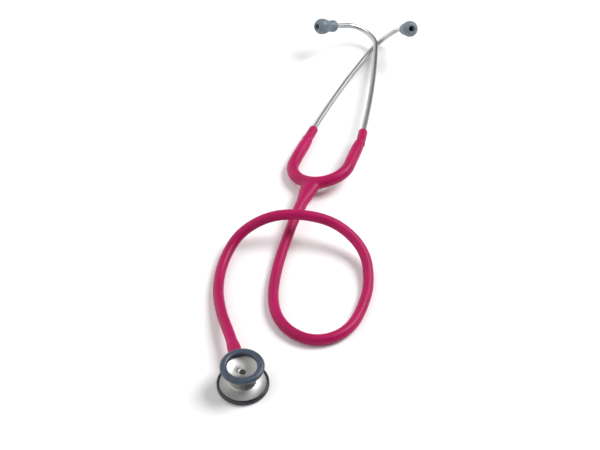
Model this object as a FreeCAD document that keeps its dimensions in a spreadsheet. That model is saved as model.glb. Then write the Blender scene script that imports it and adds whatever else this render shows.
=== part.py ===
import FreeCAD, Part
import math
import os
import Sketcher
from FreeCAD import Placement, Rotation, Vector

# Stethoscope lying on a table, in millimetres. +Y points from the chestpiece towards the ears, +Z is up.
# The headset is built in its own frame: X across, Y from the crotch of the Y towards the ears, Z out of
# its plane. The chestpiece is built in its own frame: Z up from the table, X along the stem to the tubing.

doc = FreeCAD.newDocument("stethoscope")
sheet = doc.addObject("Spreadsheet::Sheet", "sizes")

SIZES = {
    # where the assemblies lie
    "headsetX": -14.5, "headsetY": 4.5, "headsetZ": 11.0,
    "headsetYaw": -18.55, "headsetPitch": -11.17, "headsetRoll": -0.67,
    "chestX": -69.4, "chestY": -216.9, "stemYaw": 105.6, "stemHeight": 12.0,
    # moulded Y
    "crotchRadius": 26.5, "armArcRadius": 593.0, "shoulderHeight": 65.5,
    "armHeight": 79.5, "armSpacing": 48.8, "armHeading": 5.13, "armSkew": 2.52, "armTilt": 1.28,
    "armRadius": 5.35, "collarRadius": 4.3, "collarLength": 16.0,
    "yokeStemLength": 30.0, "yokeStemWide": 8.2, "yokeStemEnd": 4.9, "lumenRadius": 2.0,
    "socketDepth": 25.0, "chamberStart": 14.5, "chamberLength": 10.0,
    # leaf spring in the Y
    "springOffset": 3.4, "springThick": 0.9, "springWide": 5.0, "springRise": 26.0,
    # ear tubes
    "tubeRadius": 2.4, "tubeBore": 1.9, "tubeInside": 24.0, "runArcRadius": 1084.0, "runArcLength": 140.0,
    "earBendRadius": 20.0, "earBendAngle": 126.0, "earBendTilt": 34.0, "earStraight": 17.0,
    "runningGap": 0.05, "clampRadius": 2.95, "clampLength": 9.0, "clampStart": 23.7,
    # eartips
    "ferruleRadius": 3.1, "ferruleLength": 8.0,
    "insertRadius": 4.2, "insertLength": 9.5, "insertStart": 0.5, "insertMouth": 2.2, "insertLip": 1.2,
    "eartipCollar": 5.65, "eartipWaist": 5.0, "eartipBulb": 7.75, "eartipLength": 24.0, "eartipHole": 2.9,
    # tubing
    "hoseRadius": 4.5, "hoseBore": 2.4, "hoseEndRadius": 5.4, "hoseEndLength": 16.0, "hoseEndCone": 8.0,
    "hoseLead": 14.0, "hoseTail": 28.0, "hoseStart": 15.0,
    # chestpiece
    "rimRadius": 20.5, "rimHeight": 4.5, "rimLip": 18.6, "rimOpening": 17.0, "diaphragmThick": 0.35,
    "skirtRadius": 19.2, "hubRadius": 10.0, "bellLipRadius": 14.6, "bellLipHeight": 22.4,
    "bowlBottom": 15.4, "bellHole": 2.3, "diaphragmHole": 1.6,
    "ringCentre": 14.75, "ringSection": 2.65, "ringHeight": 22.5,
    "bossRadius": 4.6, "bossReach": 13.5, "counterbore": 3.5, "counterboreStart": 10.5,
    "ringGroove": 3.9, "ringGrooveStart": 11.7, "ringGrooveWide": 0.8, "channelDepth": 12.0,
    # stem and what holds it
    "stemBack": 6.0, "stemInner": 5.2, "stemRadius": 2.35, "stemLumen": 1.3, "stemFlange": 3.2, "stemGap": 0.3,
    "stemTrack": 2.6, "stemBarb": 2.75, "stemNeck": 2.3, "stemNose": 2.0, "sealGroove": 1.7,
    "sealAlong": 8.4, "sealRadius": 2.05, "sealSection": 0.34,
    "clipAlong": 11.8, "clipOuter": 3.85, "clipInner": 2.6, "clipThick": 0.6,
    "detentAlong": 5.5, "ballRadius": 1.2, "ballTrack": 1.95, "ballGap": 0.02,
    "coilStart": 4.6, "coilPitch": 0.75, "coilHigh": 2.1, "coilRadius": 0.8, "coilWire": 0.17,
    "screwRadius": 1.5, "screwLength": 2.2, "screwStart": 6.85, "hexRadius": 0.8, "hexDepth": 1.2,
}
for row, (alias, value) in enumerate(SIZES.items(), start=1):
    sheet.set(f"A{row}", alias)
    sheet.set(f"B{row}", str(value))
    sheet.setAlias(f"B{row}", alias)
doc.recompute()


def size(alias):
    return float(sheet.get(alias))


def term(entry):
    """A coordinate as (value, expression); an entry is a number or (alias, offset)."""
    if isinstance(entry, tuple):
        alias, offset = entry
        return size(alias) + offset, f"sizes.{alias} + ({offset})"
    return float(entry), None


def newBody(name):
    body = doc.addObject("PartDesign::Body", name)
    body.Label = name
    return body


def newSketch(body, name, role, offset=None):
    sketch = body.newObject("Sketcher::SketchObject", name)
    plane = [f for f in body.Origin.OriginFeatures if f.Role == role][0]
    sketch.AttachmentSupport = (plane, [""])
    sketch.MapMode = "FlatFace"
    if offset is not None:
        sketch.AttachmentOffset = offset
    return sketch


def pin(sketch, geo, which, axis, entry):
    """Hold one coordinate of a sketch point at a size of the sheet."""
    value, expression = term(entry)
    if abs(value) < 1e-9:
        sketch.addConstraint(Sketcher.Constraint("PointOnObject", geo, which, -2 if axis == "X" else -1))
        return
    index = sketch.addConstraint(Sketcher.Constraint("Distance" + axis, -1, 1, geo, which, value))
    if expression:
        sketch.setExpression(f"Constraints[{index}]", expression)


def outline(sketch, corners):
    """A closed outline. A corner is (x, y) or (x, y, (mx, my)), whose third entry bows the next side."""
    points = [Vector(term(c[0])[0], term(c[1])[0], 0) for c in corners]
    ends = []
    for i, corner in enumerate(corners):
        start, end = points[i], points[(i + 1) % len(points)]
        if len(corner) == 3:
            edge = Part.Arc(start, Vector(corner[2][0], corner[2][1], 0), end)
        else:
            edge = Part.LineSegment(start, end)
        geo = sketch.addGeometry(edge, False)
        swapped = sketch.getPoint(geo, 1).distanceToPoint(start) > 1e-6
        ends.append((geo, 2, 1) if swapped else (geo, 1, 2))
    for i, corner in enumerate(corners):
        before, after = ends[i - 1], ends[i]
        sketch.addConstraint(Sketcher.Constraint("Coincident", before[0], before[2], after[0], after[1]))
        pin(sketch, after[0], after[1], "X", corner[0])
        pin(sketch, after[0], after[1], "Y", corner[1])


def circle(sketch, x, y, alias, gap=0.0):
    """A circle whose radius is a size of the sheet, with an optional running gap."""
    geo = sketch.addGeometry(Part.Circle(Vector(x, y, 0), Vector(0, 0, 1), size(alias) + gap), False)
    index = sketch.addConstraint(Sketcher.Constraint("Radius", geo, size(alias) + gap))
    sketch.setExpression(f"Constraints[{index}]", f"sizes.{alias} + {gap}")
    return geo


def turned(name, corners, place=None):
    """A body turned about its Z axis from an outline of (radius, height) corners."""
    body = newBody(name)
    sketch = newSketch(body, name + "_outline", "XZ_Plane")
    outline(sketch, corners)
    revolution = body.newObject("PartDesign::Revolution", name + "_turning")
    revolution.Profile = sketch
    revolution.ReferenceAxis = (sketch, ["V_Axis"])
    revolution.Angle = 360.0
    body.Placement = place or Placement()
    return body


def cut(body, name, role, offset, alias, gap, length, reverse=False, at=(0.0, 0.0)):
    """A round pocket in a body. Its length is a number, and the volume must go down."""
    doc.recompute()
    before = body.Shape.Volume
    sketch = newSketch(body, name + "_outline", role, offset)
    circle(sketch, at[0], at[1], alias, gap)
    pocket = body.newObject("PartDesign::Pocket", name)
    pocket.Profile = sketch
    pocket.Length = length
    pocket.Reversed = reverse
    doc.recompute()
    if not before - body.Shape.Volume > 0.1:
        raise RuntimeError(f"{name} cuts nothing")


def pad(body, name, role, offset, alias, length, reverse=False):
    sketch = newSketch(body, name + "_outline", role, offset)
    circle(sketch, 0.0, 0.0, alias)
    feature = body.newObject("PartDesign::Pad", name)
    feature.Profile = sketch
    feature.Length = length
    feature.Reversed = reverse


def bound(kind, name, place, sizes):
    """A Part primitive with its sizes bound to the sheet."""
    item = doc.addObject(kind, name)
    item.Label = name
    for prop, expression in sizes.items():
        item.setExpression(prop, expression)
    item.Placement = place
    return item


def shaped(name, shape, place):
    item = doc.addObject("Part::Feature", name)
    item.Label = name
    item.Shape = shape
    item.Placement = place
    return item


def pipe(edges, radius, bore=0.0):
    """A tube along tangent edges, hollow when it has a bore."""
    wire = Part.Wire(edges)
    start = edges[0].valueAt(edges[0].FirstParameter)
    heading = edges[0].tangentAt(edges[0].FirstParameter)

    def swept(r):
        return wire.makePipeShell([Part.Wire(Part.makeCircle(r, start, heading))], True, True)

    solid = swept(radius)
    return solid.cut(swept(bore)) if bore else solid


# ---- frames -------------------------------------------------------------------------------------

HEADSET = Placement(
    Vector(size("headsetX"), size("headsetY"), size("headsetZ")),
    Rotation(size("headsetYaw"), size("headsetPitch"), size("headsetRoll")),
)
CHEST = Placement(Vector(size("chestX"), size("chestY"), 0), Rotation(Vector(0, 0, 1), size("stemYaw")))
STEM = CHEST.multiply(Placement(Vector(0, 0, size("stemHeight")), Rotation()))
X, Y, Z = Vector(1, 0, 0), Vector(0, 1, 0), Vector(0, 0, 1)
SIDES = {"right": 1, "left": -1}  # each side's sign along the headset's X


def armFrame(side):
    """The end of an arm in the headset frame: Y along the ear tube, outwards."""
    sign = SIDES[side]
    skew = Rotation(Z, size("armSkew"))
    tilt = Rotation(X, sign * size("armTilt"))
    heading = Rotation(Z, sign * size("armHeading"))
    return Placement(Vector(sign * size("armSpacing") / 2, size("armHeight"), 0), skew * tilt * heading)


def earPath(side):
    """Edges of an ear tube's centre line in its arm frame: straight, a long arc, the ear bend, straight."""
    inward = -SIDES[side]
    span = size("runArcLength") / size("runArcRadius")
    runRadius, bendRadius = size("runArcRadius"), size("earBendRadius")
    straightEnd = Vector(0, 0, 0)
    edges = [Part.LineSegment(Vector(0, -size("tubeInside"), 0), straightEnd).toShape()]

    def onArc(start, heading, turn, radius, angle):
        return start + (heading * math.sin(angle) + turn * (1 - math.cos(angle))) * radius

    turn = Vector(inward, 0, 0)
    runEnd = onArc(straightEnd, Y, turn, runRadius, span)
    edges.append(Part.Arc(straightEnd, onArc(straightEnd, Y, turn, runRadius, span / 2), runEnd).toShape())
    heading = Y * math.cos(span) + turn * math.sin(span)
    flat = turn * math.cos(span) - Y * math.sin(span)
    tilt = math.radians(size("earBendTilt"))
    bendTurn = flat * math.cos(tilt) + Z * math.sin(tilt)
    angle = math.radians(size("earBendAngle"))
    bendEnd = onArc(runEnd, heading, bendTurn, bendRadius, angle)
    edges.append(Part.Arc(runEnd, onArc(runEnd, heading, bendTurn, bendRadius, angle / 2), bendEnd).toShape())
    last = heading * math.cos(angle) + bendTurn * math.sin(angle)
    tipBase = bendEnd + last * size("earStraight")
    edges.append(Part.LineSegment(bendEnd, tipBase + last * size("ferruleLength")).toShape())
    return edges, tipBase, last


def tipFrame(side):
    """The base of an eartip in the headset frame: Z along the eartip, outwards."""
    edges, base, last = earPath(side)
    return armFrame(side).multiply(Placement(base, Rotation(Z, last)))


# ---- headset ------------------------------------------------------------------------------------


def makeYoke():
    body = newBody("yoke")
    path = newSketch(body, "arm_path", "XY_Plane")
    bend, run = size("crotchRadius"), size("armArcRadius")
    rise = math.asin((size("shoulderHeight") - bend) / run)
    side = Vector(bend, bend, 0)

    def onRun(angle):
        return Vector(bend - run * (1 - math.cos(angle)), bend + run * math.sin(angle), 0)

    corner = Vector(bend * math.sin(math.pi / 4), bend * (1 - math.cos(math.pi / 4)), 0)
    path.addGeometry(Part.Arc(Vector(0, 0, 0), corner, side), False)
    path.addGeometry(Part.Arc(side, onRun(rise / 2), onRun(rise)), False)
    section = newSketch(body, "arm_section", "YZ_Plane")
    circle(section, 0, 0, "armRadius")
    arm = body.newObject("PartDesign::AdditivePipe", "arm")
    arm.Profile = section
    arm.Spine = (path, ["Edge1", "Edge2"])
    doc.recompute()
    mirror = body.newObject("PartDesign::Mirrored", "other_arm")
    mirror.Originals = [arm]
    mirror.MirrorPlane = (path, ["V_Axis"])
    body.Tip = mirror
    doc.recompute()
    for name in SIDES:
        arm = armFrame(name)
        facing = Placement(arm.Base, arm.Rotation * Rotation(X, -90))
        pad(body, f"collar_{name}", "XY_Plane", facing, "collarRadius", size("collarLength"), True)
    doc.recompute()
    wide = newSketch(body, "stem_wide", "XZ_Plane")
    wide.addGeometry(Part.Ellipse(Vector(0, 0, 0), size("yokeStemWide"), size("armRadius")), False)
    end = newSketch(body, "stem_end", "XZ_Plane", Placement(Vector(0, 0, size("yokeStemLength")), Rotation()))
    circle(end, 0, 0, "yokeStemEnd")
    stem = body.newObject("PartDesign::AdditiveLoft", "stem_flare")
    stem.Profile = wide
    stem.Sections = [end]
    doc.recompute()
    boreYoke(body)
    body.Placement = HEADSET
    return body


def boreYoke(body):
    """Air passages, the ear tubes' sockets and the clamps' chambers."""
    before = body.Shape.Volume
    hollow = newSketch(body, "lumen_section", "YZ_Plane")
    circle(hollow, 0, 0, "lumenRadius")
    lumen = body.newObject("PartDesign::SubtractivePipe", "lumen")
    lumen.Profile = hollow
    lumen.Spine = (doc.getObject("arm_path"), ["Edge1", "Edge2"])
    doc.recompute()
    other = body.newObject("PartDesign::Mirrored", "other_lumen")
    other.Originals = [lumen]
    other.MirrorPlane = (doc.getObject("arm_path"), ["V_Axis"])
    body.Tip = other
    doc.recompute()
    cut(body, "stem_lumen", "XZ_Plane", None, "lumenRadius", 0.0, size("yokeStemLength") + 1, True)
    for name in SIDES:
        arm = armFrame(name)
        facing = Placement(arm.Base, arm.Rotation * Rotation(X, -90))
        cut(body, f"socket_{name}", "XY_Plane", facing, "tubeRadius", size("runningGap"), size("socketDepth"))
        inner = facing.multiply(Placement(Z * -size("chamberStart"), Rotation()))
        cut(body, f"chamber_{name}", "XY_Plane", inner, "clampRadius", size("runningGap"), size("chamberLength"))
    if before - body.Shape.Volume < 1000:
        raise RuntimeError("the yoke's passages were not cut")


def makeSpring():
    """A leaf that follows the U on its inner side."""
    bend = size("crotchRadius") - size("springOffset")
    run = size("armArcRadius") - size("springOffset")
    centre = Vector(0, size("crotchRadius"), 0)
    top = math.asin(size("springRise") / run)
    half = size("springThick") / 2
    wide = size("springWide")

    def leaf(sign):
        pivot = Vector(sign * (size("crotchRadius") - size("armArcRadius")), size("crotchRadius"), 0)
        points = []
        for shift in (-half, half):
            quarter = [centre + Vector(0, -(bend - shift), 0),
                       centre + Vector(sign * math.sin(math.pi / 4), -math.cos(math.pi / 4), 0) * (bend - shift),
                       centre + Vector(sign * (bend - shift), 0, 0)]
            reach = run - shift
            rise = [pivot + Vector(sign * math.cos(a), math.sin(a), 0) * reach for a in (0, top / 2, top)]
            points.append((quarter, rise))
        (q1, r1), (q2, r2) = points
        edges = [Part.Arc(*q1).toShape(), Part.Arc(*r1).toShape(), Part.LineSegment(r1[2], r2[2]).toShape(),
                 Part.Arc(*r2).toShape(), Part.Arc(*q2).toShape(), Part.LineSegment(q2[0], q1[0]).toShape()]
        face = Part.Face(Part.Wire(Part.__sortEdges__(edges)))
        face.translate(Vector(0, 0, -wide / 2))
        return face.extrude(Vector(0, 0, wide))

    return shaped("binaural_spring", leaf(1).fuse(leaf(-1)).removeSplitter(), HEADSET)


def makeEarSide(side):
    frame = HEADSET.multiply(armFrame(side))
    edges, base, last = earPath(side)
    shaped(f"ear_tube_{side}", pipe(edges, size("tubeRadius"), size("tubeBore")), frame)
    inner = frame.multiply(Placement(Y * -size("clampStart"), Rotation(X, -90)))
    turned(f"spring_clamp_{side}", sleeve("tubeRadius", "clampRadius", "clampLength"), inner)
    tip = HEADSET.multiply(tipFrame(side))
    turned(f"tip_ferrule_{side}", sleeve("tubeRadius", "ferruleRadius", "ferruleLength"), tip)
    inside = tip.multiply(Placement(Z * size("insertStart"), Rotation()))
    lip = ("insertLength", -size("insertLip"))
    turned(f"eartip_insert_{side}", [
        (("ferruleRadius", 0.05), 0), (("insertRadius", 0), 0), (("insertRadius", 0), ("insertLength", 0)),
        (("insertMouth", 0), ("insertLength", 0)), (("insertMouth", 0), lip), (("ferruleRadius", 0.05), lip),
    ], inside)
    turned(f"eartip_{side}", [
        (("insertRadius", 0), 0), (("eartipCollar", -0.8), 0), (("eartipCollar", 0), 0.8), (("eartipCollar", 0), 4.4),
        (("eartipWaist", 0), 5.6), (("eartipWaist", 0), 7.6, (5.6, 9.6)), (("eartipBulb", 0), 13.0, (7.5, 18.4)),
        (5.2, ("eartipLength", -0.9), (4.5, 23.8)), (3.8, ("eartipLength", 0)), (("eartipHole", 0), ("eartipLength", -0.7)),
        (2.0, 16.0), (2.0, 10.0), (("insertRadius", 0), 10.0),
    ], tip)


def sleeve(inner, outer, length):
    return [((inner, 0), 0), ((outer, 0), 0), ((outer, 0), (length, 0)), ((inner, 0), (length, 0))]


# ---- tubing -------------------------------------------------------------------------------------

# From the Y's stem, under the arch, round the loop, over the strand and down to the chestpiece.
ROUTE = [
    (-35, -55, 6), (-41.5, -80, 4.5), (-46.3, -106, 4.5), (-48, -129.5, 4.5), (-44.5, -150.5, 4.5),
    (-33.5, -167, 4.5), (-16.5, -176, 4.5), (2, -173, 4.5), (16.5, -160.5, 4.5), (25, -142, 4.5),
    (32.5, -114, 4.5), (30, -80, 10), (8, -58.5, 20.5), (-20.5, -53, 26.5), (-50.5, -53.5, 26),
    (-77, -60.5, 12.5), (-90, -85, 4.5), (-94, -117, 4.5), (-89.5, -148, 7),
]


def hosePoints():
    start = HEADSET.multVec(Vector(0, -size("yokeStemLength"), 0))
    first = HEADSET.multVec(Vector(0, -size("yokeStemLength") - size("hoseLead"), 0))
    near = STEM.multVec(Vector(size("hoseStart") + size("hoseTail"), 0, 0))
    end = STEM.multVec(Vector(size("hoseStart"), 0, 0))
    return [start, first] + [Vector(*point) for point in ROUTE] + [near, end]


def rounded(points):
    """Straight runs joined by arcs, each as large as its two runs allow."""
    edges, radii, here = [], [], points[0]
    for i in range(1, len(points) - 1):
        before, after = points[i] - points[i - 1], points[i + 1] - points[i]
        turn = before.getAngle(after)
        reach = 0.45 * min(before.Length, after.Length)
        radii.append(round(reach / math.tan(turn / 2), 1))
        arrive = points[i] - Vector(before).normalize() * reach
        leave = points[i] + Vector(after).normalize() * reach
        middle = points[i] + (arrive + leave - points[i] * 2).normalize() * (
            reach / math.tan(turn / 2) * (1 / math.cos(turn / 2) - 1))
        edges.append(Part.LineSegment(here, arrive).toShape())
        edges.append(Part.Arc(arrive, middle, leave).toShape())
        here = leave
    edges.append(Part.LineSegment(here, points[-1]).toShape())
    return edges, radii


def makeTubing():
    edges, radii = rounded(hosePoints())
    length = sum(edge.Length for edge in edges)
    radius, bore = size("hoseRadius"), size("hoseBore")
    tube = pipe(edges, radius, bore)
    expected = math.pi * (radius**2 - bore**2) * length
    print(f"tubing: length {length:.1f}, volume {tube.Volume:.0f}, expected {expected:.0f}, radii {radii}")
    if abs(tube.Volume / expected - 1) > 0.01:
        raise RuntimeError("the tubing's sweep is wrong")
    reach, thick, cone = size("hoseEndLength"), size("hoseEndRadius"), size("hoseEndCone")
    end, heading = STEM.multVec(X * size("hoseStart")), STEM.Rotation.multVec(X)
    swell = Part.makeCylinder(thick, reach, end, heading)
    swell = swell.fuse(Part.makeCone(thick, radius, cone, end + heading * reach, heading))
    swell = swell.cut(Part.makeCylinder(bore, reach + cone, end, heading))
    return shaped("tubing", tube.fuse(swell).removeSplitter(), Placement())


# ---- chestpiece ---------------------------------------------------------------------------------


def makeChestBody():
    body = turned("chestpiece_body", [
        (0, ("bowlBottom", 0)), (2.6, ("bowlBottom", 0)), (13.5, 19.8), (13.5, ("bellLipHeight", 0)),
        (("bellLipRadius", 0), ("bellLipHeight", 0)), (("bellLipRadius", 0), 19.2, (11.2, 14.8)),
        (("hubRadius", 0), 10.2), (("hubRadius", 0), 5.9), (10.4, 5.4, (14.2, 4.25)),
        (18.4, 3.5), (("skirtRadius", 0), 3.4), (("skirtRadius", 0), 1.2), (17.6, 1.2), (16.6, 1.8), (0, 3.6),
    ])
    pad(body, "stem_boss", "YZ_Plane", None, "bossRadius", size("bossReach"))
    doc.getObject("stem_boss_outline").AttachmentOffset = Placement(Vector(0, size("stemHeight"), 0), Rotation())
    doc.recompute()
    high, deep = size("stemHeight"), size("channelDepth")

    def along(distance):
        return Placement(Vector(0, high, distance), Rotation())

    cut(body, "stem_bore", "YZ_Plane", along(-size("stemInner") - size("stemGap")),
        "stemRadius", 0.05, 30.0, True)
    cut(body, "flange_bore", "YZ_Plane", along(size("counterboreStart")), "counterbore", 0.0, 10.0, True)
    cut(body, "ring_groove", "YZ_Plane", along(size("ringGrooveStart")),
        "ringGroove", 0.0, size("ringGrooveWide"), True)
    middle = Placement(Z * high, Rotation())
    cut(body, "bell_channel", "XY_Plane", middle, "bellHole", 0.0, deep, True)
    cut(body, "diaphragm_channel", "XY_Plane", middle, "diaphragmHole", 0.0, deep + 1)
    side = Placement(Vector(size("detentAlong"), high, -1.5), Rotation())
    cut(body, "detent_bore", "XZ_Plane", side, "ballRadius", 0.1, deep)
    mouth = Placement(Vector(size("detentAlong"), high, -size("screwStart") + 0.05), Rotation())
    cut(body, "screw_bore", "XZ_Plane", mouth, "screwRadius", 0.0, 8.0)
    body.Placement = CHEST
    return body


def makeBellRing():
    body = newBody("bell_ring")
    sketch = newSketch(body, "ring_section", "XZ_Plane")
    circle(sketch, size("ringCentre"), size("ringHeight"), "ringSection")
    ring = body.newObject("PartDesign::Revolution", "ring_turning")
    ring.Profile = sketch
    ring.ReferenceAxis = (sketch, ["V_Axis"])
    ring.Angle = 360.0
    doc.recompute()
    slot = newSketch(body, "lip_slot", "XZ_Plane")
    outline(slot, [(13.5, 18.5), (("bellLipRadius", 0), 18.5), (("bellLipRadius", 0), ("bellLipHeight", 0)),
                   (13.5, ("bellLipHeight", 0))])
    groove = body.newObject("PartDesign::Groove", "lip_groove")
    groove.Profile = slot
    groove.ReferenceAxis = (slot, ["V_Axis"])
    groove.Angle = 360.0
    body.Placement = CHEST


def makeDiaphragmSide():
    bound("Part::Cylinder", "diaphragm", CHEST.multiply(Placement(Z * 0.8, Rotation())),
          {"Radius": "sizes.skirtRadius", "Height": "sizes.diaphragmThick"})
    turned("diaphragm_rim", [
        (("rimOpening", 0), 0.5), (("rimOpening", 0.5), 0), (("rimRadius", -0.9), 0), (("rimRadius", 0), 0.9),
        (("rimRadius", 0), 3.5), (("rimRadius", -0.7), ("rimHeight", 0)), (("rimLip", 0.2), ("rimHeight", 0)),
        (("rimLip", 0), ("rimHeight", -0.2)), (("rimLip", 0), 3.5), (("skirtRadius", 0), 3.5),
        (("skirtRadius", 0), 0.8), (("rimOpening", 0), 0.8),
    ], CHEST)


def makeStem():
    """A turned, barbed tube. Its outline is (along, radius), turned about the stem's own axis."""
    body = newBody("stem")
    sketch = newSketch(body, "stem_outline", "XY_Plane")
    outline(sketch, stemCorners())
    turning = body.newObject("PartDesign::Revolution", "stem_turning")
    turning.Profile = sketch
    turning.ReferenceAxis = (sketch, ["H_Axis"])
    turning.Angle = 360.0
    doc.recompute()
    port = Placement(X * size("stemBack"), Rotation())
    cut(body, "stem_port", "XY_Plane", port, "stemLumen", 0.2, 5.0, True)
    body.Placement = STEM.multiply(Placement(X * -size("stemBack"), Rotation()))


def stemCorners():
    """Corners of the stem's outline, from a zero behind the chestpiece's axis, so that all are positive."""
    back = size("stemBack")
    shaft, flange, lumen = ("stemRadius", 0), ("stemFlange", 0), ("stemLumen", 0)
    inner = back - size("stemInner")

    def neck(centre, width, radius):
        """A groove round the shaft."""
        low, high = back + centre - width / 2, back + centre + width / 2
        return [(low, shaft), (low, radius), (high, radius), (high, shaft)]

    corners = [(inner, 0), (inner, shaft)]
    corners += neck(size("detentAlong"), size("stemTrack"), ("ballTrack", 0))
    corners += neck(size("sealAlong"), 0.8, ("sealGroove", 0))
    collar = back + 10.6
    corners += [(collar, shaft), (collar, flange), (collar + 1, flange), (collar + 1, shaft)]
    barbStart, barbStep = back + 15.2, 3.4
    corners.append((barbStart, shaft))
    for start in (barbStart, barbStart + barbStep):
        corners += [(start, ("stemBarb", 0)), (start + 2.8, ("stemNeck", 0)), (start + barbStep, ("stemNeck", 0))]
    nose = barbStart + 2 * barbStep
    corners += [(nose, ("stemBarb", 0)), (nose + 3, ("stemNose", 0)), (nose + 3, lumen)]
    return corners + [(inner + 3.4, lumen), (inner + 3.4, 0)]


def makeStemHardware():
    bound("Part::Torus", "stem_o_ring", STEM.multiply(Placement(X * size("sealAlong"), Rotation(Y, 90))),
          {"Radius1": "sizes.sealRadius", "Radius2": "sizes.sealSection"})
    thick = size("clipThick")
    clip = Part.makeCylinder(size("clipOuter"), thick, Vector(0, 0, 0), Z, 320)
    clip = clip.cut(Part.makeCylinder(size("clipInner"), thick))
    shaped("retaining_ring", clip, STEM.multiply(Placement(X * size("clipAlong"), Rotation(Y, 90))))
    side = STEM.multiply(Placement(X * size("detentAlong"), Rotation(X, -90)))
    ballAt = size("ballTrack") + size("ballRadius") + size("ballGap")
    bound("Part::Sphere", "detent_ball", side.multiply(Placement(Z * ballAt, Rotation())),
          {"Radius": "sizes.ballRadius"})
    coil = Part.makeHelix(size("coilPitch"), size("coilHigh"), size("coilRadius"))
    wire = Part.Wire(Part.makeCircle(size("coilWire"), X * size("coilRadius"), Y))
    spring = Part.Wire(coil).makePipeShell([wire], True, True)
    shaped("detent_spring", spring, side.multiply(Placement(Z * size("coilStart"), Rotation())))
    makeScrew().Placement = side.multiply(Placement(Z * size("screwStart"), Rotation()))


def makeScrew():
    """A grub screw with a hexagonal socket."""
    screw = newBody("detent_screw")
    pad(screw, "screw_shank", "XY_Plane", None, "screwRadius", size("screwLength"))
    doc.recompute()
    before = screw.Shape.Volume
    hexagon = newSketch(screw, "screw_hexagon", "XY_Plane", Placement(Z * size("screwLength"), Rotation()))
    turns = [math.radians(60 * k) for k in range(7)]
    corners = [Vector(math.cos(a), math.sin(a), 0) * size("hexRadius") for a in turns]
    for start, end in zip(corners, corners[1:]):
        hexagon.addGeometry(Part.LineSegment(start, end), False)
    socket = screw.newObject("PartDesign::Pocket", "screw_socket")
    socket.Profile = hexagon
    socket.Length = size("hexDepth")
    doc.recompute()
    if not before - screw.Shape.Volume > 0.5:
        raise RuntimeError("the screw has no socket")
    return screw


# ---- build and write ----------------------------------------------------------------------------

makeYoke()
makeSpring()
for earSide in SIDES:
    makeEarSide(earSide)
makeTubing()
makeChestBody()
makeBellRing()
makeDiaphragmSide()
makeStem()
makeStemHardware()
doc.recompute()

NODES = ["yoke", "binaural_spring", "tubing", "chestpiece_body", "bell_ring", "diaphragm", "diaphragm_rim",
         "stem", "stem_o_ring", "retaining_ring", "detent_ball", "detent_spring", "detent_screw"]
for earSide in SIDES:
    NODES += [f"{kind}_{earSide}" for kind in
              ("ear_tube", "spring_clamp", "tip_ferrule", "eartip_insert", "eartip")]

for item in doc.Objects:
    if "Invalid" in item.State or "Error" in item.State:
        raise RuntimeError(f"{item.Label} failed: {item.State}")
os.makedirs("parts", exist_ok=True)
for name in NODES:
    node = doc.getObject(name)
    if node.Shape.isNull() or not node.Shape.isValid() or len(node.Shape.Solids) != 1:
        raise RuntimeError(f"{name} is not one valid solid")
for name in NODES:
    node = doc.getObject(name)
    node.Shape.exportStep(f"parts/{name}.step")
    box = node.Shape.BoundBox
    print(f"{name}: {node.Shape.Volume:.1f} mm3, x {box.XMin:.1f} {box.XMax:.1f}, "
          f"y {box.YMin:.1f} {box.YMax:.1f}, z {box.ZMin:.2f} {box.ZMax:.2f}")
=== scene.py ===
import math

import bmesh
import bpy
import numpy as np
import openvdb
from mathutils import Matrix, Vector


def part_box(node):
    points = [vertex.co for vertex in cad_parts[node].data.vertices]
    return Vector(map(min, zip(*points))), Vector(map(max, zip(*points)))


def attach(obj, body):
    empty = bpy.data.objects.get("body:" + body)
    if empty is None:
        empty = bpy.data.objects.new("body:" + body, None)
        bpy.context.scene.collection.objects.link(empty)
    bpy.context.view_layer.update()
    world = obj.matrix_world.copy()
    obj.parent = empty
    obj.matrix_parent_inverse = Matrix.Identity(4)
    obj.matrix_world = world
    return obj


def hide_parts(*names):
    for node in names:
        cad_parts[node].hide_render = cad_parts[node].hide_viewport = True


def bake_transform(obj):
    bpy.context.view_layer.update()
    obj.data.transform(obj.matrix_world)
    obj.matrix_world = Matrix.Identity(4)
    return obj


# A stethoscope lying on a table. Lengths are in mm until a mesh is written, which is in metres.
# Headset frame: X across, Y from the crotch of the Y towards the ears. Chestpiece frame: X along the stem.

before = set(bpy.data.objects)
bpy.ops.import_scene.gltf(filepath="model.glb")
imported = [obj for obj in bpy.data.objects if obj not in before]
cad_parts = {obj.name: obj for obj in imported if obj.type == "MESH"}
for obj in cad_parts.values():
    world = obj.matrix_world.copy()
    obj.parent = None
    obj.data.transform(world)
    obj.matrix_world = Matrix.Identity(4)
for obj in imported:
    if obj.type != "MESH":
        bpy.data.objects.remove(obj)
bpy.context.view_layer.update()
mm = 0.001

lie = dict(x=-14.5, y=4.5, z=11.0, yaw=-18.55, pitch=-11.17, roll=-0.67, stemYaw=105.6, stemHeight=12.0)
sides = {"right": 1, "left": -1}  # each side's sign along the headset's X


def turn(degrees, axis):
    return Matrix.Rotation(math.radians(degrees), 4, axis)


def shift(x, y, z):
    return Matrix.Translation((x, y, z))


headset = shift(lie["x"], lie["y"], lie["z"])
headset = headset @ turn(lie["yaw"], "Z") @ turn(lie["pitch"], "Y") @ turn(lie["roll"], "X")
ringLow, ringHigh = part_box("bell_ring")
chestMiddle = (ringLow + ringHigh) / 2 / mm
chest = shift(chestMiddle.x, chestMiddle.y, 0) @ turn(lie["stemYaw"], "Z")
stem = chest @ shift(0, 0, lie["stemHeight"])


def placed(place, points):  # points in mm, carried by a frame, in metres
    return (np.asarray(points, float) @ np.array(place.to_3x3()).T + np.array(place.translation)) * mm


# camera

camera = dict(aimX=-0.0254, aimY=-0.0389, distance=1.094, pitch=44.0, lens=75.0, sensor=36.0, farClip=20.0)


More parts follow.
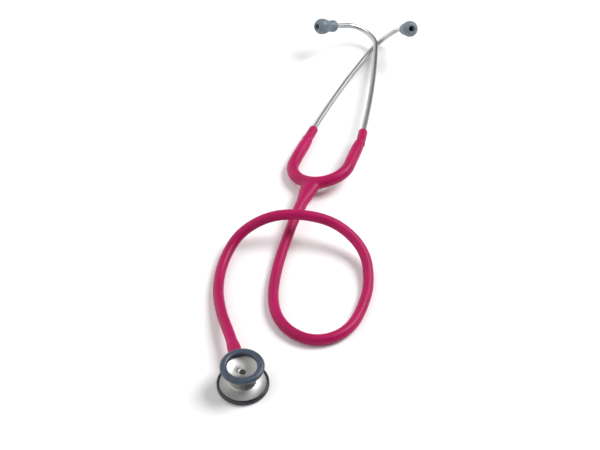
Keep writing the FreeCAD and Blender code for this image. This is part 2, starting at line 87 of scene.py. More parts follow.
def makeCamera(values):
    pitch = math.radians(values["pitch"])
    back = Vector((0, -math.cos(pitch), math.sin(pitch)))
    data = bpy.data.cameras.new("tableCamera")
    data.lens = values["lens"]
    data.sensor_width = values["sensor"]
    data.clip_end = values["farClip"]
    eye = bpy.data.objects.new("tableCamera", data)
    eye.location = Vector((values["aimX"], values["aimY"], 0)) + back * values["distance"]
    eye.rotation_euler = (math.pi / 2 - pitch, 0, 0)
    bpy.context.scene.collection.objects.link(eye)
    bpy.context.scene.camera = eye


makeCamera(camera)
print("camera in place")

# material nodes


class Wire:  # one output socket; arithmetic on it adds Math nodes
    def __init__(self, graph, socket):
        self.graph = graph
        self.socket = socket

    def math(self, operation, a, b):
        return self.graph.add("ShaderNodeMath", dict(operation=operation), {0: a, 1: b})

    def __add__(self, other):
        return self.math("ADD", self, other)

    def __radd__(self, other):
        return self.math("ADD", other, self)

    def __sub__(self, other):
        return self.math("SUBTRACT", self, other)

    def __rsub__(self, other):
        return self.math("SUBTRACT", other, self)

    def __mul__(self, other):
        return self.math("MULTIPLY", self, other)

    def __rmul__(self, other):
        return self.math("MULTIPLY", other, self)


class Graph:  # the node tree of a material or a world, every node of it made by add
    def __init__(self, name, blocks=None):
        self.material = (bpy.data.materials if blocks is None else blocks).new(name)
        self.material.use_nodes = True
        self.tree = self.material.node_tree
        self.tree.nodes.clear()

    def add(self, kind, settings=None, sockets=None, out=0):
        node = self.tree.nodes.new(kind)
        for key, value in (settings or {}).items():
            setattr(node, key, value)
        for key, value in (sockets or {}).items():
            if isinstance(value, Wire):
                self.tree.links.new(value.socket, node.inputs[key])
            else:
                node.inputs[key].default_value = value
        return Wire(self, node.outputs[out]) if node.outputs else None

    def point(self):  # object coordinates, in metres
        return self.add("ShaderNodeTexCoord", out=3)

    def skin(self, scale):  # the piece's own UV: turns round it, and metres along it
        spot = self.add("ShaderNodeUVMap", dict(uv_map="own"))
        return self.add("ShaderNodeVectorMath", dict(operation="MULTIPLY"), {0: spot, 1: scale})

    def split(self, spot):  # the three parts of a vector
        first = self.add("ShaderNodeSeparateXYZ", None, {0: spot})
        return [Wire(self, socket) for socket in first.socket.node.outputs]

    def clamp(self, value, low, high):
        return self.add("ShaderNodeClamp", None, {0: value, 1: low, 2: high})

    def noise(self, spot, scale, detail, rough=0.55):
        values = {"Vector": spot, "Scale": scale, "Detail": detail, "Roughness": rough}
        return self.add("ShaderNodeTexNoise", None, values)

    def tint(self, noise, dark, light, low=0.3, high=0.7):  # the middle of a noise, spread from dark to light
        mask = self.add("ShaderNodeMapRange", None, {0: noise, 1: low, 2: high})
        colours = {0: mask, 6: (*dark, 1), 7: (*light, 1)}
        return self.add("ShaderNodeMix", dict(data_type="RGBA"), colours, out=2)

    def bump(self, height, strength, distance):
        values = {"Height": height, "Strength": strength, "Distance": distance}
        return self.add("ShaderNodeBump", None, values)

    def finish(self, **sockets):
        named = {key.replace("_", " "): value for key, value in sockets.items()}
        shader = self.add("ShaderNodeBsdfPrincipled", None, named)
        self.add("ShaderNodeOutputMaterial", None, {0: shader})
        return self.material


def vary(noise, amount):  # a noise from 0 to 1 as a change either way
    return (noise - 0.5) * amount


pink = dict(dark=(0.32, 0.0020, 0.066), light=(0.42, 0.0035, 0.094), roughness=0.42, sheen=0.22, grain=900.0,
            cloud=45.0, grainRough=0.10, cloudRough=0.12, bump=0.25, bumpHeight=0.00002)


def makePink(values):  # glossy vinyl: faint clouding of the colour, and a fine moulded grain
    g = Graph("raspberryVinyl")
    spot = g.point()
    cloud = g.noise(spot, values["cloud"], 4)
    grain = g.noise(spot, values["grain"], 2)
    rough = values["roughness"] + vary(grain, values["grainRough"]) + vary(cloud, values["cloudRough"])
    moulded = g.bump(grain, values["bump"], values["bumpHeight"])
    return g.finish(Base_Color=g.tint(cloud, values["dark"], values["light"]), Roughness=rough,
                    Specular_IOR_Level=values["sheen"], Normal=moulded)


# the stretch scales the piece's own UV, so that the drawing lines run along a tube or round it
drawn = dict(colour=(0.54, 0.55, 0.56), darker=0.92, roughness=0.30, stretch=(90.0, 78.0, 1), blotch=120.0,
             lineShare=0.6, lineRough=0.10, blotchRough=0.05, bump=0.08, bumpHeight=0.00001)
ringed = dict(drawn, colour=(0.42, 0.42, 0.43), roughness=0.32, stretch=(52.0, 2600.0, 1))


def makeDrawn(name, values):  # drawn steel: fine lines, a little blotchy
    g = Graph(name)
    lines = g.noise(g.skin(values["stretch"]), 1.0, 3, 0.6)
    blotch = g.noise(g.point(), values["blotch"], 3)
    shade = lines * values["lineShare"] + blotch * (1 - values["lineShare"])
    dark = tuple(c * values["darker"] for c in values["colour"])
    rough = values["roughness"] + vary(lines, values["lineRough"]) + vary(blotch, values["blotchRough"])
    return g.finish(Base_Color=g.tint(shade, dark, values["colour"]), Metallic=1.0, Roughness=rough,
                    Normal=g.bump(lines, values["bump"], values["bumpHeight"]))


turnedFinish = dict(colour=(0.47, 0.465, 0.455), darker=0.86, roughness=0.40, lines=2400.0, smear=150.0,
                    lineShare=0.8, lineRough=0.12, smearRough=0.04, anisotropy=0.6, bump=0.2,
                    bumpHeight=0.00001)


def makeTurned(name, values):  # turned steel: concentric tool lines by the distance along the outline
    g = Graph(name)
    lines = g.noise(g.skin((0.0, values["lines"], 0)), 1.0, 2, 0.7)
    smear = g.noise(g.point(), values["smear"], 3)
    shade = lines * values["lineShare"] + smear * (1 - values["lineShare"])
    dark = tuple(c * values["darker"] for c in values["colour"])
    rough = values["roughness"] + vary(lines, values["lineRough"]) + vary(smear, values["smearRough"])
    grooves = g.bump(lines, values["bump"], values["bumpHeight"])
    return g.finish(Base_Color=g.tint(shade, dark, values["colour"]), Metallic=1.0, Roughness=rough,
                    Anisotropic=values["anisotropy"], Normal=grooves)


rubber = dict(mottle=160.0, grain=1500.0, spread=0.12, bump=0.3, bumpHeight=0.00004)
soft = {
    "slateRubber": dict(rubber, dark=(0.032, 0.047, 0.075), light=(0.052, 0.071, 0.108), roughness=0.42),
    "rimPlastic": dict(rubber, dark=(0.012, 0.016, 0.021), light=(0.024, 0.029, 0.035), roughness=0.34),
    "eartipRubber": dict(rubber, dark=(0.112, 0.148, 0.180), light=(0.155, 0.198, 0.234), roughness=0.46),
    "blackPlastic": dict(rubber, dark=(0.012, 0.012, 0.014), light=(0.022, 0.022, 0.024), roughness=0.45),
    "diaphragmFilm": dict(rubber, dark=(0.55, 0.55, 0.52), light=(0.62, 0.62, 0.59), roughness=0.22,
                          grain=3000.0, spread=0.06),
}


def makeRubber(name):  # soft rubber or moulded plastic: mottled colour, fine matt grain
    values = soft[name]
    g = Graph(name)
    spot = g.point()
    mottle = g.noise(spot, values["mottle"], 4)
    fine = g.noise(spot, values["grain"], 2)
    rough = values["roughness"] + vary(fine, values["spread"]) + vary(mottle, values["spread"])
    return g.finish(Base_Color=g.tint(mottle, values["dark"], values["light"]), Roughness=rough,
                    Normal=g.bump(fine, values["bump"], values["bumpHeight"]))


pinkVinyl = makePink(pink)
tubeSteel = makeDrawn("drawnSteel", drawn)
ringedSteel = makeDrawn("springSteel", ringed)
bowlSteel = makeTurned("turnedSteel", turnedFinish)
ringRubber = makeRubber("slateRubber")
rimPlastic = makeRubber("rimPlastic")
tipRubber = makeRubber("eartipRubber")
blackPlastic = makeRubber("blackPlastic")
filmPlastic = makeRubber("diaphragmFilm")
print("materials made")

# shapes on grids


sharpAngle = 50.0  # an edge that turns further than this stays crisp


def meshPiece(name, points, faces, material, uv):
    # points in metres; a row of faces may repeat a corner, which makes a triangle
    mesh = bpy.data.meshes.new(name)
    mesh.from_pydata(points.tolist(), [], [tuple(dict.fromkeys(row)) for row in faces.tolist()])
    layer = mesh.uv_layers.new(name="own")
    corner = np.zeros(len(mesh.loops), dtype=np.int32)
    mesh.loops.foreach_get("vertex_index", corner)
    layer.data.foreach_set("uv", uv[corner].astype(np.float32).ravel())
    mesh.polygons.foreach_set("use_smooth", np.ones(len(mesh.polygons), dtype=bool))
    mesh.set_sharp_from_angle(angle=math.radians(sharpAngle))
    mesh.materials.append(material)
    mesh.update()
    piece = bpy.data.objects.new(name, mesh)
    bpy.context.scene.collection.objects.link(piece)
    return piece


def gridFaces(rings, around, loop):  # quads between rings of points; loop joins the last ring to the first
    i, j = np.meshgrid(np.arange(rings if loop else rings - 1), np.arange(around), indexing="ij")
    k = (i + 1) % rings
    n = (j + 1) % around
    return np.stack([i * around + j, i * around + n, k * around + n, k * around + j], -1).reshape(-1, 4)


def closed(points, faces, uv, around):  # the first and last rings lie on the axis, so each becomes one point
    remap = np.arange(len(points))
    remap[:around] = 0
    remap[-around:] = len(points) - around
    faces = remap[faces]
    used, order = np.unique(faces, return_inverse=True)
    return points[used], order.reshape(faces.shape), uv[used]


def arc(a, via, b, steps):  # the circle through three points, from a to b
    (x1, y1), (x2, y2), (x3, y3) = a, via, b
    d = 2 * (x1 * (y2 - y3) + x2 * (y3 - y1) + x3 * (y1 - y2))
    s1, s2, s3 = x1 * x1 + y1 * y1, x2 * x2 + y2 * y2, x3 * x3 + y3 * y3
    cx = (s1 * (y2 - y3) + s2 * (y3 - y1) + s3 * (y1 - y2)) / d
    cy = (s1 * (x3 - x2) + s2 * (x1 - x3) + s3 * (x2 - x1)) / d
    first = math.atan2(y1 - cy, x1 - cx)
    sweep = (math.atan2(y3 - cy, x3 - cx) - first) % (2 * math.pi)
    if (math.atan2(y2 - cy, x2 - cx) - first) % (2 * math.pi) > sweep:
        sweep -= 2 * math.pi
    angle = first + np.linspace(0, 1, steps) * sweep
    radius = math.hypot(x1 - cx, y1 - cy)
    return np.stack([cx + radius * np.cos(angle), cy + radius * np.sin(angle)], -1)


def softened(corners, loop=True, steps=6):
    # each corner (x, y, cut) becomes a quadratic blend of its two sides, starting a cut's length from it
    corners = [tuple(c) if len(c) == 3 else (*c, 0.0) for c in corners]
    out = []
    for i, (x, y, reach) in enumerate(corners):
        here = np.array((x, y), float)
        if reach <= 0 or (not loop and i in (0, len(corners) - 1)):
            out.append(here[None])
            continue
        before = np.array(corners[i - 1][:2], float) - here
        after = np.array(corners[(i + 1) % len(corners)][:2], float) - here
        near = min(reach, 0.49 * np.linalg.norm(before), 0.49 * np.linalg.norm(after))
        a = here + before / np.linalg.norm(before) * near
        b = here + after / np.linalg.norm(after) * near
        s = np.linspace(0, 1, steps)[:, None]
        out.append((1 - s) ** 2 * a + 2 * s * (1 - s) * here + s * s * b)
    return np.vstack(out)


def spaced(profile, step, loop):  # points added so that none are further apart than step
    ring = np.vstack([profile, profile[:1]]) if loop else profile
    parts = []
    for a, b in zip(ring[:-1], ring[1:]):
        pieces = max(1, int(math.ceil(np.linalg.norm(b - a) / step)))
        parts.append(a + (b - a) * (np.arange(pieces) / pieces)[:, None])
    return np.vstack(parts if loop else parts + [ring[-1:]])


def turned(name, profile, place, material, around, loop=True, step=0.5):
    # point (u, v) is the outline's point v, (radius, height), turned by the angle u about the place's Z;
    # the outline runs anticlockwise round the solid, with the radius to the right
    profile = spaced(np.asarray(profile, float), step, loop)
    angle = np.arange(around) * 2 * np.pi / around
    radius, height = profile[:, :1], profile[:, 1:]
    local = np.stack([radius * np.cos(angle), radius * np.sin(angle), height + 0 * angle], -1).reshape(-1, 3)
    length = np.r_[0, np.cumsum(np.linalg.norm(np.diff(profile, axis=0), axis=1))]
    uv = np.stack([np.tile(angle / (2 * np.pi), len(profile)), np.repeat(length, around) * mm], -1)
    faces = gridFaces(len(profile), around, loop)
    if not loop:
        local, faces, uv = closed(local, faces, uv, around)
    return meshPiece(name, placed(place, local), faces, material, uv)


def alongPath(name, path, reach, radius, material, around=56):
    # point (u, v) is the path at the length reach[v], moved radius[v] towards the angle u, square to the path
    lengths = np.r_[0, np.cumsum(np.linalg.norm(np.diff(path, axis=0), axis=1))]
    at = np.asarray(reach, float)
    centre = np.stack([np.interp(at, lengths, path[:, k]) for k in range(3)], -1)
    slope = np.gradient(path, lengths, axis=0)
    heading = np.stack([np.interp(at, lengths, slope[:, k]) for k in range(3)], -1)
    heading /= np.linalg.norm(heading, axis=1)[:, None]
    spread = path - path.mean(0)
    thin = np.linalg.eigh(spread.T @ spread)[1][:, 0]  # the direction that the path leaves least
    side = np.cross(thin, heading)
    side /= np.linalg.norm(side, axis=1)[:, None]
    over = np.cross(heading, side)
    angle = np.arange(around) * 2 * np.pi / around
    ring = side[:, None] * np.cos(angle)[:, None] + over[:, None] * np.sin(angle)[:, None]
    points = (centre[:, None] + ring * np.asarray(radius, float)[:, None, None]).reshape(-1, 3)
    uv = np.stack([np.tile(angle / (2 * np.pi), len(at)), np.repeat(at, around)], -1)
    points, faces, uv = closed(points, gridFaces(len(at), around, False), uv, around)
    return meshPiece(name, points, faces, material, uv)


def smooth(t):
    t = np.clip(t, 0, 1)
    return t * t * (3 - 2 * t)


# tubing

hose = dict(
    lead=14.0, tail=28.0, start=15.0, radius=4.5, neck=5.1, neckLength=26.0, end=5.35, endLength=24.0,
    sleeve=12.0, fine=30.0, coarseStep=1.0, fineStep=0.3, lip=0.8, bore=2.5, boreDepth=4.0,
    mouthCut=(0.4, 0.3),
    route=[
        (-35, -55, 6), (-41.5, -80, 4.5), (-46.3, -106, 4.5), (-48, -129.5, 4.5), (-44.5, -150.5, 4.5),
        (-33.5, -167, 4.5), (-16.5, -176, 4.5), (2, -173, 4.5), (16.5, -160.5, 4.5), (25, -142, 4.5),
        (32.5, -114, 4.5), (30, -80, 10), (8, -58.5, 20.5), (-20.5, -53, 26.5), (-50.5, -53.5, 26),
        (-77, -60.5, 12.5), (-90, -85, 4.5), (-94, -117, 4.5), (-89.5, -148, 7),
    ],
    barbs=(5.0, 8.6, 12.2, 15.6), barbRise=0.16, barbWide=1.0,
)
yoke = dict(
    bow=26.5, inset={"right": 0.25, "left": 1.7}, shoulder=61.5, arm=5.35, shoulderArm=4.55, taper=10.0,
    height=79.5, spacing=48.8, heading=5.13, skew=2.52, tilt=1.28,
    collar=4.3, collarEnd=0.6, collarFade=20.0, collarBack=10.0, collarSink=10.5, mouth=2.75, mouthDepth=2.0,
    stem=30.0, stemWide=9.7, stemEnd=5.1, stemTop=-2.0, voxel=0.35, fillet=3.6, cutAt=-13.0,
    armSoft=3.0, collarSoft=2.6, collarJoin=2.0, mouthSoft=0.5, stemSoft=2.0, halfWide=36.0, halfDeep=8.0,
    hinge={"left": (-19, 8, 0), "right": (6, 2, 0)}, follow=(25, 62),
)


def hoseLine(values):  # the route as a smooth NURBS line, read back as points in metres
    begin = [headset @ Vector((0, -yoke["stem"] - reach, 0)) for reach in (0, values["lead"])]
    finish = [stem @ Vector((values["start"] + reach, 0, 0)) for reach in (values["tail"], 0)]
    route = [*begin, *[Vector(p) for p in values["route"]], *finish]
    curve = bpy.data.curves.new("hoseLine", "CURVE")
    curve.dimensions = "3D"
    curve.resolution_u = 24
    spline = curve.splines.new("NURBS")
    spline.points.add(len(route) - 1)
    for spot, control in zip(route, spline.points):
        control.co = (*(spot * mm), 1.0)
    spline.order_u = 3
    spline.use_endpoint_u = True
    carrier = bpy.data.objects.new("hoseLine", curve)
    mesh = bpy.data.meshes.new_from_object(carrier)
    path = np.array([v.co for v in mesh.vertices], float)
    bpy.data.objects.remove(carrier)
    return path


def makeHose(values):
    # a round hose along its line: the neck tapers from the Y, and the far end swells over a barbed stem
    path = hoseLine(values)
    total = np.linalg.norm(np.diff(path, axis=0), axis=1).sum() / mm
    fine, lip = total - values["fine"], values["lip"]
    reach = np.r_[np.arange(0, fine, values["coarseStep"]), np.arange(fine, total - lip, values["fineStep"])]
    left = total - reach
    plain = values["radius"]
    radius = plain + (values["neck"] - plain) * (1 - smooth(reach / values["neckLength"]))
    swell = 1 - smooth((left - values["sleeve"]) / (values["endLength"] - values["sleeve"]))
    radius = radius + (values["end"] - plain) * swell
    for barb in values["barbs"]:
        radius = radius + values["barbRise"] * np.exp(-((left - barb) / values["barbWide"]) ** 2)
    last = radius[-1]
    edge = np.linspace(0, math.pi / 2, 8)
    lipReach = total - lip + lip * np.sin(edge)
    lipRadius = last - lip * (1 - np.cos(edge))
    mouth, floor = values["bore"], total - values["boreDepth"]
    inward, outward = values["mouthCut"]  # the bore's edge is cut this far in and this far out
    reach = np.r_[0, reach, lipReach, total, total - inward, floor, floor]
    radius = np.r_[0, radius, lipRadius, mouth + outward, mouth, mouth, 0]
    piece = alongPath("tubing_hose", path, reach * mm, radius * mm, pinkVinyl, 64)
    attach(piece, "root")
    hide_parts("tubing")
    print(f"hose made, {total:.0f} mm long")


makeHose(hose)

# the moulded Y


def armPlace(side):  # an arm's end: Y along the ear tube, outwards
    sign = sides[side]
    spot = shift(sign * yoke["spacing"] / 2, yoke["height"], 0)
    return spot @ turn(yoke["skew"], "Z") @ turn(sign * yoke["tilt"], "X") @ turn(sign * yoke["heading"], "Z")


def softMin(a, b, reach):  # the smaller of two fields, with a fillet where they are close
    close = np.clip(reach - np.abs(a - b), 0, None) / reach
    return np.minimum(a, b) - close * close * reach / 4


def softMax(a, b, reach):
    return -softMin(-a, -b, reach)


def yokeField(x, y, z, values):
    # distance to the bow's centre line less its radius, joined softly to two collars and a flared stem
    bow = values["bow"]
    across = np.abs(x)
    lean = np.where(x > 0, values["inset"]["right"], values["inset"]["left"])  # how far each arm leans in
    run = (values["shoulder"] - bow) ** 2 / (2 * lean)
    low = np.hypot(np.hypot(across, y - bow) - bow, z)
    high = np.hypot(np.hypot(across + run - bow, y - bow) - run, z)
    climb = run * np.arctan2(y - bow, across + run - bow)
    top = values["shoulder"] - bow
    thinner = smooth((climb - top + values["taper"]) / values["taper"])
    thick = values["arm"] - (values["arm"] - values["shoulderArm"]) * thinner
    field = np.where(y < bow, low, high) - thick
    field = softMax(field, climb - top, values["armSoft"])
    for side in sides:
        place = armPlace(side)
        ax, ay, az = place.to_3x3() @ Vector((0, 1, 0))
        dx, dy, dz = x - place.translation.x, y - place.translation.y, z - place.translation.z
        along = dx * ax + dy * ay + dz * az
        off = np.sqrt(np.clip(dx * dx + dy * dy + dz * dz - along * along, 0, None))
        sunk = smooth((-along - values["collarFade"]) / values["collarBack"])  # the back sinks into the arm
        slim = values["collar"] - values["collarSink"] * sunk
        collar = softMax(off - slim, along + values["collarEnd"], values["collarSoft"])
        field = softMin(field, collar, values["collarJoin"])
        bore = np.maximum(off - values["mouth"], -along - values["mouthDepth"])
        field = softMax(field, -bore, values["mouthSoft"])
    t = np.clip(-y / values["stem"], 0, 1)
    wide = values["stemWide"] + (values["stemEnd"] - values["stemWide"]) * t
    deep = values["arm"] + (values["stemEnd"] - values["arm"]) * t
    flare = (np.hypot(x / wide, z / deep) - 1) * deep
    flare = softMax(flare, y - values["stemTop"], values["stemSoft"])
    field = softMin(field, flare, values["fillet"])
    return np.maximum(field, -y - values["stem"])


def makeYoke(values):
    # the skin is where the field is zero, on a grid of cells; it is cut across the left arm, near the crotch
    step = values["voxel"]
    low = np.array((-values["halfWide"], -values["stem"] - 2, -values["halfDeep"]))
    high = (values["halfWide"], values["height"] + 5, values["halfDeep"])
    axes = [np.arange(a, b, step) for a, b in zip(low, high)]
    x, y, z = np.meshgrid(*axes, indexing="ij", sparse=True)
    grid = openvdb.FloatGrid(3.0)
    grid.copyFromArray(yokeField(x, y, z, values).astype(np.float32))
    points, quads = grid.convertToQuads(isovalue=0.0)[:2]
    points = np.asarray(points, float) * step + low

    def fieldAt(p):
        return yokeField(*p.T, values)

    def slope(p):  # the field's gradient by differences, which points out of the skin
        reach = 0.05
        ends = [fieldAt(p + reach * d) - fieldAt(p - reach * d) for d in np.eye(3)]
        return np.stack(ends, -1) / (2 * reach)

    grade = slope(points)
    points = points - grade * (fieldAt(points) / np.clip((grade ** 2).sum(1), 0.3, None))[:, None]
    whole = bmesh.new()
    mesh = bpy.data.meshes.new("yokeWhole")
    mesh.from_pydata(points.tolist(), [], np.asarray(quads).tolist())
    whole.from_mesh(mesh)
    if whole.calc_volume(signed=True) < 0:
        bmesh.ops.reverse_faces(whole, faces=whole.faces)
    spot, heading = Vector((values["cutAt"], 0, 0)), Vector((-1, 0, 0))
    for name, keep, side in (("yoke_left_arm", 1, "left"), ("yoke_body", -1, "right")):
        part = whole.copy()
        reach = [*part.verts, *part.edges, *part.faces]
        bmesh.ops.bisect_plane(part, geom=reach, plane_co=spot, plane_no=heading * keep, clear_inner=True)
        bmesh.ops.holes_fill(part, edges=[e for e in part.edges if e.is_boundary])
        data = bpy.data.meshes.new(name)
        part.to_mesh(data)
        part.free()
        count = len(data.vertices)
        local = np.zeros(count * 3, np.float32)
        data.vertices.foreach_get("co", local)
        local = local.reshape(-1, 3).astype(float)
        normals = slope(local) @ np.array(headset.to_3x3()).T
        data.vertices.foreach_set("co", placed(headset, local).astype(np.float32).ravel())
        data.polygons.foreach_set("use_smooth", np.ones(len(data.polygons), dtype=bool))
        data.materials.append(pinkVinyl)
        data.update()
        data.normals_split_custom_set_from_vertices(normals / np.linalg.norm(normals, axis=1)[:, None])
        piece = bpy.data.objects.new(name, data)
        bpy.context.scene.collection.objects.link(piece)
        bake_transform(piece)
        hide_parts("yoke")
        print(f"{name} made, {len(data.polygons)} faces")
    whole.free()


makeYoke(yoke)

spring = dict(run=593.0, offset=3.4, thick=0.9, wide=5.0, rise=26.0, corner=0.25, root=(6, 2))


def makeSpring(values):
    # a leaf inside the Y: a small rounded rectangle carried along the bow, one half for each arm
    bow = yoke["bow"] - values["offset"]
    run = values["run"] - values["offset"]
    top = math.asin(values["rise"] / run)
    a, b, cut = values["thick"] / 2, values["wide"] / 2, values["corner"]
    rim = softened([(-a, -b, cut), (a, -b, cut), (a, b, cut), (-a, b, cut)], True, 4)
    low = np.linspace(-math.pi / 2, 0, 30)
    high = np.linspace(0, top, 16)[1:]
    lowOut = np.stack([np.cos(low), np.sin(low)], -1)
    highOut = np.stack([np.cos(high), np.sin(high)], -1)
    lowLine = np.array((0, yoke["bow"])) + bow * lowOut
    highLine = np.array((yoke["bow"] - values["run"], yoke["bow"])) + run * highOut
    centre, out = np.r_[lowLine, highLine], np.r_[lowOut, highOut]
    flat = centre[:, None] + out[:, None] * rim[None, :, :1]
    half = np.concatenate([flat, np.broadcast_to(rim[None, :, 1:], (len(centre), len(rim), 1))], -1)
    ends = [row.mean(1, keepdims=True) + 0 * row for row in (half[:1], half[-1:])]  # closes each end
    half = np.concatenate([ends[0], half, ends[1]])
    for side, sign in sides.items():
        rings = half * (sign, 1, 1)
        faces = gridFaces(len(rings), len(rim), False)
        uv = np.zeros((rings.shape[0] * rings.shape[1], 2))
        points, faces, uv = closed(rings.reshape(-1, 3), faces if sign < 0 else faces[:, ::-1], uv, len(rim))
        piece = meshPiece(f"binaural_spring_{side}", placed(headset, points), faces, ringedSteel, uv)
        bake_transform(piece)
        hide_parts("binaural_spring")


makeSpring(spring)

# ear tubes and eartips

earTube = dict(radius=2.6, inside=24.0, run=1084.0, runLength=140.0, bend=20.0, bendAngle=126.0,
               bendTilt=34.0, straight=17.0, ferrule=8.0, edge=0.4)
eartip = dict(seat=4.2, seatDepth=10.0, base=4.85, collar=5.95, waist=5.5, bulb=8.0, length=24.0, hole=2.7,
              bore=2.0)


def earLine(side, values):
    # straight, a long arc inwards, the ear bend in a plane tilted up, straight: in mm in the arm's frame
    inward = -sides[side]
    span = values["runLength"] / values["run"]
    tilt = math.radians(values["bendTilt"])
    ahead, flat = np.array((0, 1.0, 0)), np.array((inward, 0, 0), float)

    def onArc(start, heading, towards, radius, angle):
        return start + (heading * np.sin(angle)[:, None] + towards * (1 - np.cos(angle))[:, None]) * radius

    straight = np.linspace(-values["inside"], -1, 8)[:, None] * ahead
    long = onArc(0, ahead, flat, values["run"], np.linspace(0, span, 60))
    heading = ahead * math.cos(span) + flat * math.sin(span)
    towards = (flat * math.cos(span) - ahead * math.sin(span)) * math.cos(tilt)
    towards = towards + np.array((0, 0, 1)) * math.sin(tilt)
    turnTo = math.radians(values["bendAngle"])
    bend = onArc(long[-1], heading, towards, values["bend"], np.linspace(0, turnTo, 64)[1:])
    last = heading * math.cos(turnTo) + towards * math.sin(turnTo)
    base = bend[-1] + last * values["straight"]
    rest = np.linspace(0, 1, 12)[1:, None] * (values["straight"] + values["ferrule"])
    return np.vstack([straight, long, bend, bend[-1] + rest * last]), base, last


def makeEarTube(side, values):
    line, base, last = earLine(side, values)
    path = placed(headset @ armPlace(side), line)
    total = np.linalg.norm(np.diff(path, axis=0), axis=1).sum() / mm
    edge = np.linspace(0, math.pi / 2, 5)
    rise, fall = values["edge"] * (1 - np.sin(edge)), values["edge"] * (1 - np.cos(edge))
    reach = np.r_[0, fall, np.arange(1.0, total - 1, 1.0), total - rise, total]
    radius = values["radius"] + 0 * reach
    radius[1:6] -= rise
    radius[-6:-1] -= fall
    radius[[0, -1]] = 0
    piece = alongPath(f"ear_tube_{side}_steel", path, reach * mm, radius * mm, tubeSteel)
    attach(piece, f"{side}_arm")
    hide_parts(f"ear_tube_{side}")
    upright = Vector((0, 0, 1)).rotation_difference(Vector(last)).to_matrix().to_4x4()
    return headset @ armPlace(side) @ shift(*base) @ upright


def makeEartip(side, place, values):
    # collar, waist and mushroom-shaped bulb with an open, rounded mouth
    high, base, collar, waist = values["length"], values["base"], values["collar"], values["waist"]
    bulb, hole, bore = values["bulb"], values["hole"], values["bore"]
    seat, deep = values["seat"], values["seatDepth"]
    wall = softened([
        (base, 0.15), (collar, 1.4, 1.2), (collar, 5.6, 2.4), (waist, 8.9, 3.2), (bulb - 0.7, 13.2, 3.2),
        (bulb, 16.6, 2.6), (bulb - 0.35, 20.2, 2.4), (bulb - 2.6, 23.5, 2.0), (3.9, high, 1.4),
        (hole + 0.5, high - 0.05, 0.4), (hole, high - 0.8)], False, 8)
    outline = np.vstack([
        np.array([(seat, 0), (base - 0.25, 0)]),
        wall,
        np.array([(bore, 16.0), (bore, deep), (seat, deep)]),
    ])
    piece = turned(f"eartip_{side}_soft", outline, place, tipRubber, 96)
    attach(piece, f"{side}_tip")
    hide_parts(f"eartip_{side}")


for earSide in sides:
    makeEartip(earSide, makeEarTube(earSide, earTube), eartip)
print("ear tubes and eartips made")

# chestpiece

bowl = dict(bottom=16.1, hole=2.3, lip=14.6, lipHigh=22.4, hub=10.0, skirt=19.2, wall=13.5)
boss = dict(radius=4.6, start=8.0, reach=13.5, mouth=3.5, depth=10.6)
bellRing = dict(centre=14.4, section=2.85, height=22.5, rise=2.15, depth=3.0)
rim = dict(radius=20.5, height=4.5, opening=17.0, lip=18.6, groove=19.2)


def makeChest(values):
    # a cone-shaped bowl on a waisted hub, over a shallow skirt; the channel goes down from the bowl's middle
    lip, hub, skirt, hole = values["lip"], values["hub"], values["skirt"], values["hole"]
    low, high, wall = values["bottom"], values["lipHigh"], values["wall"]
    outline = np.vstack([
        np.array([(0, 3.6), (16.6, 1.8), (17.6, 1.2)]),
        np.array([(skirt, 1.2), (skirt, 3.4), (18.4, 3.5)]),
        arc((18.2, 3.52), (14.2, 4.25), (10.6, 5.3), 16),
        softened([(10.45, 5.4), (hub, 5.9, 0.3), (hub, 7.0), (hub - 0.12, 7.15), (hub, 7.3), (hub, 10.2)],
                 False),
        arc((hub, 10.25), (11.2, 14.8), (lip, 19.2), 18),
        softened([(lip, 19.3), (lip, high, 0.3), (wall, high, 0.3), (wall, 19.9)], False),
        arc((wall - 0.4, 19.55), (8.4, 17.4), (hole + 0.55, low + 0.12), 22),
        softened([(hole + 0.4, low), (hole, low - 0.25, 0.2), (hole, 9.0)], False),
        np.array([(0, 9.0)]),
    ])
    piece = turned("chestpiece_bowl", outline, chest, bowlSteel, 192, loop=False, step=0.4)
    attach(piece, "chestpiece")
    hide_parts("chestpiece_body")


def makeBoss(values):  # the round boss that the stem turns in, closed at its back inside the hub
    radius, start, reach = values["radius"], values["start"], values["reach"]
    mouth, depth = values["mouth"], values["depth"]
    outline = np.vstack([
        np.array([(0, start), (radius, start)]),
        softened([(radius, start + 1), (radius, reach, 0.5), (mouth, reach, 0.25), (mouth, depth)], False),
        np.array([(0, depth)]),
    ])
    piece = turned("chestpiece_boss", outline, stem @ turn(90, "Y"), bowlSteel, 96, loop=False, step=0.4)
    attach(piece, "chestpiece")


def makeBellRing(values):  # a soft ring of oval section that grips the bowl's lip
    angle = np.arange(64) * 2 * np.pi / 64
    wide, deep = values["section"], np.where(np.sin(angle) < 0, values["depth"], values["rise"])
    outline = np.stack([values["centre"] + wide * np.cos(angle), values["height"] + deep * np.sin(angle)], -1)
    piece = turned("bell_ring_soft", outline, chest, ringRubber, 192)
    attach(piece, "chestpiece")
    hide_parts("bell_ring")


def makeRim(values):  # a screw-on rim with a rounded edge, a step, and a thin upper lip
    wide, high, opening, lip = values["radius"], values["height"], values["opening"], values["lip"]
    groove = values["groove"]
    outline = softened([
        (opening, 0.8), (opening, 0.5, 0.2), (opening + 0.5, 0, 0.3), (wide - 0.9, 0, 0.8), (wide, 0.9, 0.8),
        (wide, 2.5, 0.25), (wide - 0.28, 2.75, 0.2), (wide - 0.05, 3.0, 0.2), (wide - 0.05, 3.5, 0.5),
        (wide - 0.8, high, 0.5), (lip + 0.3, high, 0.25), (lip, high - 0.25, 0.2), (lip, 3.5, 0.1),
        (groove, 3.5), (groove, 0.8)])
    piece = turned("diaphragm_rim_ring", outline, chest, rimPlastic, 192)
    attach(piece, "chestpiece")
    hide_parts("diaphragm_rim")


makeChest(bowl)
makeBoss(boss)
makeBellRing(bellRing)
makeRim(rim)
print("chestpiece made")

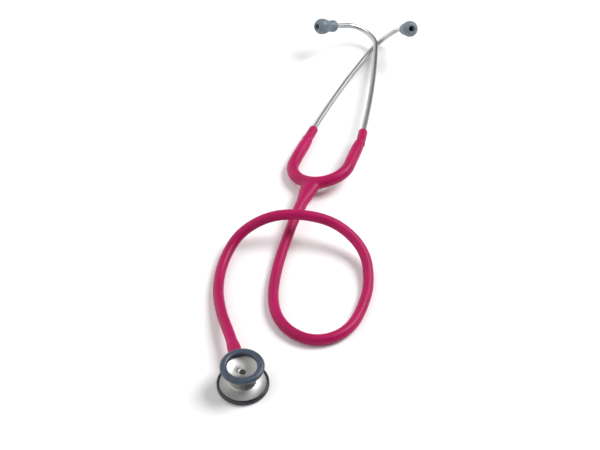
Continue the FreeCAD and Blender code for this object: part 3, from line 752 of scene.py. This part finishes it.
# CAD pieces that show as they are

finishes = {
    "stem": tubeSteel, "stem_o_ring": blackPlastic, "retaining_ring": ringedSteel, "detent_ball": tubeSteel,
    "detent_spring": ringedSteel, "detent_screw": tubeSteel, "diaphragm": filmPlastic,
}
for earSide in sides:
    finishes[f"spring_clamp_{earSide}"] = ringedSteel
    finishes[f"tip_ferrule_{earSide}"] = blackPlastic
    finishes[f"eartip_insert_{earSide}"] = blackPlastic
for node, finish in finishes.items():
    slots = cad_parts[node].data.materials
    slots.clear()
    slots.append(finish)

# floor, light and background

studio = dict(floor=0.95, floorReach=6.0, overhead=0.42, lean=1.2, dimmest=0.04, brightest=1.5, key=50.0,
              keySize=1.2, keyPlace=(1.3, 0.45, 1.6), keyAim=(-0.02, -0.04, 0))


def makeFloor(values):
    reach = values["floorReach"]
    corners = [(-reach, -reach, 0), (reach, -reach, 0), (reach, reach, 0), (-reach, reach, 0)]
    mesh = bpy.data.meshes.new("tableTop")
    mesh.from_pydata(corners, [], [(0, 1, 2, 3)])
    g = Graph("paleTable")
    grey = (*(values["floor"],) * 3, 1)
    mesh.materials.append(g.finish(Base_Color=grey, Roughness=0.8, Specular_IOR_Level=0.2))
    floor = bpy.data.objects.new("tableTop", mesh)
    bpy.context.scene.collection.objects.link(floor)


def makeKey(values):  # one large soft light from the right
    data = bpy.data.lights.new("keyBox", "AREA")
    data.shape = "RECTANGLE"
    data.size = values["keySize"]
    data.size_y = values["keySize"]
    data.energy = values["key"]
    place = Vector(values["keyPlace"])
    lamp = bpy.data.objects.new("keyBox", data)
    lamp.location = place
    lamp.rotation_euler = (Vector(values["keyAim"]) - place).to_track_quat("-Z", "Y").to_euler()
    bpy.context.scene.collection.objects.link(lamp)


def makeSky(values):  # white walls that grow dimmer from the left to the right
    g = Graph("studioRoom", bpy.data.worlds)
    across = g.split(g.add("ShaderNodeTexCoord", out=0))[0]
    glow = g.clamp(values["overhead"] - across * values["lean"], values["dimmest"], values["brightest"])
    sky = g.add("ShaderNodeBackground", None, {0: (1, 1, 1, 1), 1: glow})
    g.add("ShaderNodeOutputWorld", None, {0: sky})
    bpy.context.scene.world = g.material


makeFloor(studio)
makeKey(studio)
makeSky(studio)
bpy.context.scene.view_settings.view_transform = "Standard"
print("studio made")
